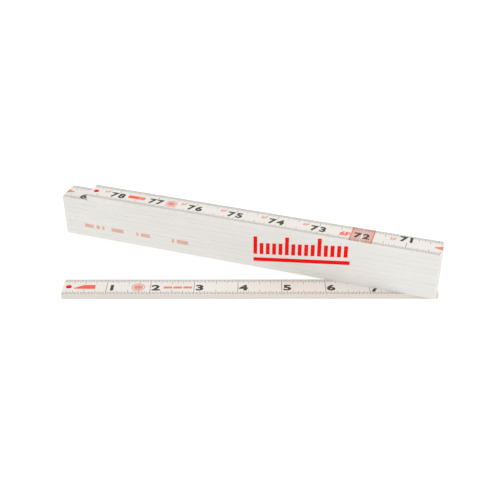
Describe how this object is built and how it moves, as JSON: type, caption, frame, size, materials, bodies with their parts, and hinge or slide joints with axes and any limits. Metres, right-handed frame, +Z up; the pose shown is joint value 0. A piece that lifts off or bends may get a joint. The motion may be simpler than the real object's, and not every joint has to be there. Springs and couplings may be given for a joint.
{
  "type": "folding rule",
  "caption": "Zig-zag folding rule of white composite leaves joined by concealed click joints, with printed inch and centimetre scales, first leaf swung out.",
  "frame": {"origin": "on the underside of leaf 1, where the axis of the first pivot meets it", "axes": "+X along the folded stack from the free ends to the first pivot, +Y away from the side that leaf 1 swings out to, +Z up through the stack from leaf 1 to leaf 10"},
  "size_m": [0.2352, 0.0807, 0.0329],
  "materials": {
    "leaf_composite": "satin moulded glass-filled nylon",
    "spring_steel": "plain hardened spring steel",
    "rivet_steel": "zinc plated",
    "black_ink": "printed scale ink",
    "red_ink": "printed ink"
  },
  "bodies": {
    "link_1": {"leaf_01": "leaf_composite", "index_plate_1": "spring_steel", "pivot_rivet_1": "rivet_steel", "disc_spring_1": "spring_steel"},
    "link_2": {"leaf_02": "leaf_composite", "index_plate_2": "spring_steel", "pivot_rivet_2": "rivet_steel", "disc_spring_2": "spring_steel", "spring_plate_1": "spring_steel"},
    "link_3": {"leaf_03": "leaf_composite", "index_plate_3": "spring_steel", "pivot_rivet_3": "rivet_steel", "disc_spring_3": "spring_steel", "spring_plate_2": "spring_steel"},
    "link_4": {"leaf_04": "leaf_composite", "index_plate_4": "spring_steel", "pivot_rivet_4": "rivet_steel", "disc_spring_4": "spring_steel", "spring_plate_3": "spring_steel"},
    "link_5": {"leaf_05": "leaf_composite", "index_plate_5": "spring_steel", "pivot_rivet_5": "rivet_steel", "disc_spring_5": "spring_steel", "spring_plate_4": "spring_steel"},
    "link_6": {"leaf_06": "leaf_composite", "index_plate_6": "spring_steel", "pivot_rivet_6": "rivet_steel", "disc_spring_6": "spring_steel", "spring_plate_5": "spring_steel"},
    "link_7": {"leaf_07": "leaf_composite", "index_plate_7": "spring_steel", "pivot_rivet_7": "rivet_steel", "disc_spring_7": "spring_steel", "spring_plate_6": "spring_steel"},
    "link_8": {"leaf_08": "leaf_composite", "index_plate_8": "spring_steel", "pivot_rivet_8": "rivet_steel", "disc_spring_8": "spring_steel", "spring_plate_7": "spring_steel"},
    "link_9": {"leaf_09": "leaf_composite", "index_plate_9": "spring_steel", "pivot_rivet_9": "rivet_steel", "disc_spring_9": "spring_steel", "spring_plate_8": "spring_steel"},
    "link_10": {"leaf_10": "leaf_composite", "spring_plate_9": "spring_steel"}
  },
  "joints": [
    {"name": "pivot_1", "type": "hinge", "parent": "link_1", "child": "link_2", "pos_m": [0, 0, 0.00328], "axis": [0, 0, -1], "range_deg": [-18, 162]},
    {"name": "pivot_2", "type": "hinge", "parent": "link_2", "child": "link_3", "pos_m": [-0.2, 0, 0.00658], "axis": [0, 0, 1], "range_deg": [0, 180]},
    {"name": "pivot_3", "type": "hinge", "parent": "link_3", "child": "link_4", "pos_m": [0, 0, 0.00988], "axis": [0, 0, -1], "range_deg": [0, 180]},
    {"name": "pivot_4", "type": "hinge", "parent": "link_4", "child": "link_5", "pos_m": [-0.2, 0, 0.01317], "axis": [0, 0, 1], "range_deg": [0, 180]},
    {"name": "pivot_5", "type": "hinge", "parent": "link_5", "child": "link_6", "pos_m": [0, 0, 0.01648], "axis": [0, 0, -1], "range_deg": [0, 180]},
    {"name": "pivot_6", "type": "hinge", "parent": "link_6", "child": "link_7", "pos_m": [-0.2, 0, 0.01978], "axis": [0, 0, 1], "range_deg": [0, 180]},
    {"name": "pivot_7", "type": "hinge", "parent": "link_7", "child": "link_8", "pos_m": [0, 0, 0.02307], "axis": [0, 0, -1], "range_deg": [0, 180]},
    {"name": "pivot_8", "type": "hinge", "parent": "link_8", "child": "link_9", "pos_m": [-0.2, 0, 0.02637], "axis": [0, 0, 1], "range_deg": [0, 180]},
    {"name": "pivot_9", "type": "hinge", "parent": "link_9", "child": "link_10", "pos_m": [0, 0, 0.02967], "axis": [0, 0, -1], "range_deg": [0, 180]}
  ]
}
